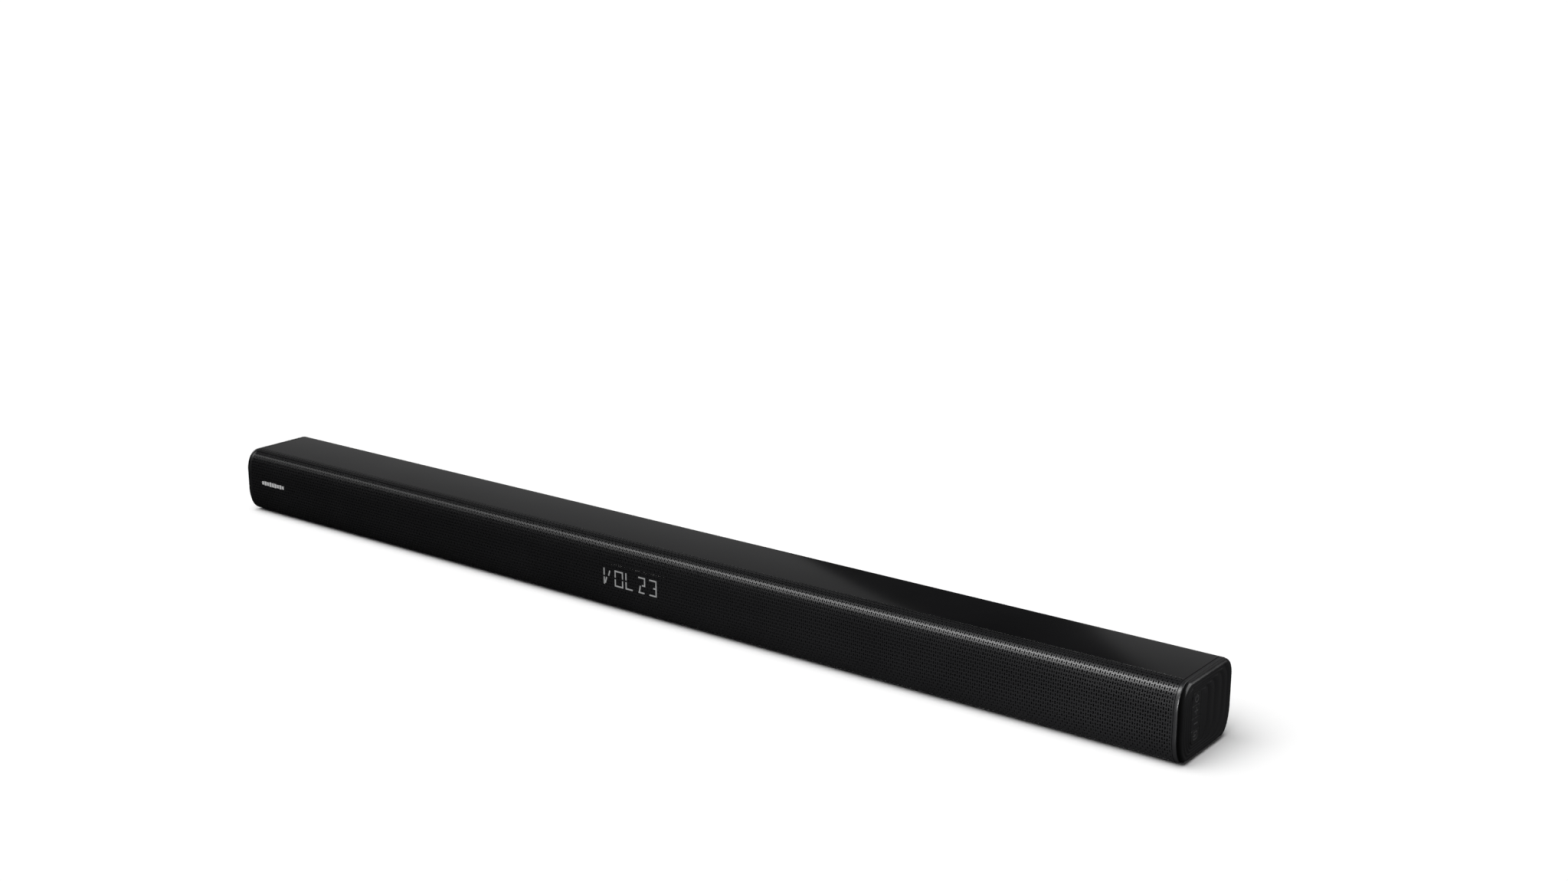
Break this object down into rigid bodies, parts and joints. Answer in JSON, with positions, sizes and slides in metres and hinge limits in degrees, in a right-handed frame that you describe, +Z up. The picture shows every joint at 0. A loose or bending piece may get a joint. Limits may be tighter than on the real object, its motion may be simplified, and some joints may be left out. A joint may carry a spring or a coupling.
{
  "type": "soundbar",
  "caption": "Slim home-cinema bar loudspeaker with wrapped perforated grille, satin top, gloss end plates with side keys and a hidden segment display; stands on feet or hangs on keyholes.",
  "frame": {"origin": "on the floor under the middle of the bar (centre of the box round it, at its lowest point)", "axes": "+X along the bar towards the keys, -Y towards the listener (grille side), +Z up"},
  "size_m": [0.95, 0.0754, 0.058],
  "materials": {
    "grille_steel": "perforated steel sheet, satin black powder coat",
    "satin_cover": "moulded ABS, fine satin grain",
    "satin_cap": "moulded ABS, smooth satin",
    "gloss_plate": "piano-black ABS with moulded ripples",
    "key_plastic": "gloss black ABS with printed symbols",
    "inner_plastic": "moulded black ABS",
    "badge_metal": "brushed, anodised",
    "smoked_window": "smoked acrylic",
    "display_housing": "white reflector housing",
    "circuit_board": "solder-resist green laminate",
    "heat_sink_metal": "extruded",
    "ferrite": "sintered ferrite, dark grey",
    "plated_steel": "zinc plated",
    "painted_steel": "pressed steel, black paint",
    "foot_rubber": "moulded",
    "surround_rubber": "moulded half roll",
    "cone_paper": "pressed paper pulp, dyed black",
    "coil_aluminium": "thin rolled former",
    "spider_cloth": "phenolic-treated cloth",
    "cable_sleeve": "PVC sleeve"
  },
  "bodies": {
    "bar": {"aux_socket": "inner_plastic", "bottom_case": "satin_cover", "button_board": "circuit_board", "case_screw_left": "plated_steel", "case_screw_mid_left": "plated_steel", "case_screw_mid_right": "plated_steel", "case_screw_right": "plated_steel", "display_board": "circuit_board", "display_module": "display_housing", "display_window": "smoked_window", "end_cap_left": "satin_cap", "end_cap_right": "satin_cap", "end_plate_left": "gloss_plate", "end_plate_right": "gloss_plate", "foot_back_left": "foot_rubber", "foot_back_right": "foot_rubber", "foot_front_left": "foot_rubber", "foot_front_right": "foot_rubber", "front_badge": "badge_metal", "front_baffle": "inner_plastic", "front_grille": "grille_steel", "hdmi_socket": "plated_steel", "heat_sink": "heat_sink_metal", "left_driver_basket": "painted_steel", "left_driver_gasket": "foot_rubber", "left_driver_magnet": "ferrite", "left_driver_spider": "spider_cloth", "left_driver_surround": "surround_rubber", "left_driver_top_plate": "plated_steel", "left_driver_yoke": "plated_steel", "left_speaker_cable": "cable_sleeve", "main_board": "circuit_board", "optical_socket": "inner_plastic", "port_tray": "inner_plastic", "power_board": "circuit_board", "power_inlet": "inner_plastic", "right_driver_basket": "painted_steel", "right_driver_gasket": "foot_rubber", "right_driver_magnet": "ferrite", "right_driver_spider": "spider_cloth", "right_driver_surround": "surround_rubber", "right_driver_top_plate": "plated_steel", "right_driver_yoke": "plated_steel", "right_speaker_cable": "cable_sleeve", "top_cover": "satin_cover", "transformer": "ferrite", "usb_socket": "plated_steel", "wall_bracket_left": "plated_steel", "wall_bracket_right": "plated_steel", "wireless_module": "circuit_board"},
    "power_button": {"power_button": "key_plastic"},
    "volume_up_button": {"volume_up_button": "key_plastic"},
    "volume_down_button": {"volume_down_button": "key_plastic"},
    "source_button": {"source_button": "key_plastic"},
    "left_cone": {"left_driver_cone": "cone_paper", "left_driver_dust_cap": "cone_paper", "left_driver_voice_coil": "coil_aluminium"},
    "right_cone": {"right_driver_cone": "cone_paper", "right_driver_dust_cap": "cone_paper", "right_driver_voice_coil": "coil_aluminium"}
  },
  "joints": [
    {"name": "power_press", "type": "slide", "parent": "bar", "child": "power_button", "axis": [-1, 0, 0], "range_m": [0, 0.0005], "stiffness_N_per_m": 1500},
    {"name": "volume_up_press", "type": "slide", "parent": "bar", "child": "volume_up_button", "axis": [-1, 0, 0], "range_m": [0, 0.0005], "stiffness_N_per_m": 1500},
    {"name": "volume_down_press", "type": "slide", "parent": "bar", "child": "volume_down_button", "axis": [-1, 0, 0], "range_m": [0, 0.0005], "stiffness_N_per_m": 1500},
    {"name": "source_press", "type": "slide", "parent": "bar", "child": "source_button", "axis": [-1, 0, 0], "range_m": [0, 0.0005], "stiffness_N_per_m": 1500},
    {"name": "left_cone_travel", "type": "slide", "parent": "bar", "child": "left_cone", "axis": [0, -1, 0], "range_m": [-0.002, 0.002], "stiffness_N_per_m": 1200, "deforming": ["left_driver_surround", "left_driver_spider"]},
    {"name": "right_cone_travel", "type": "slide", "parent": "bar", "child": "right_cone", "axis": [0, -1, 0], "range_m": [-0.002, 0.002], "stiffness_N_per_m": 1200, "deforming": ["right_driver_surround", "right_driver_spider"]}
  ]
}
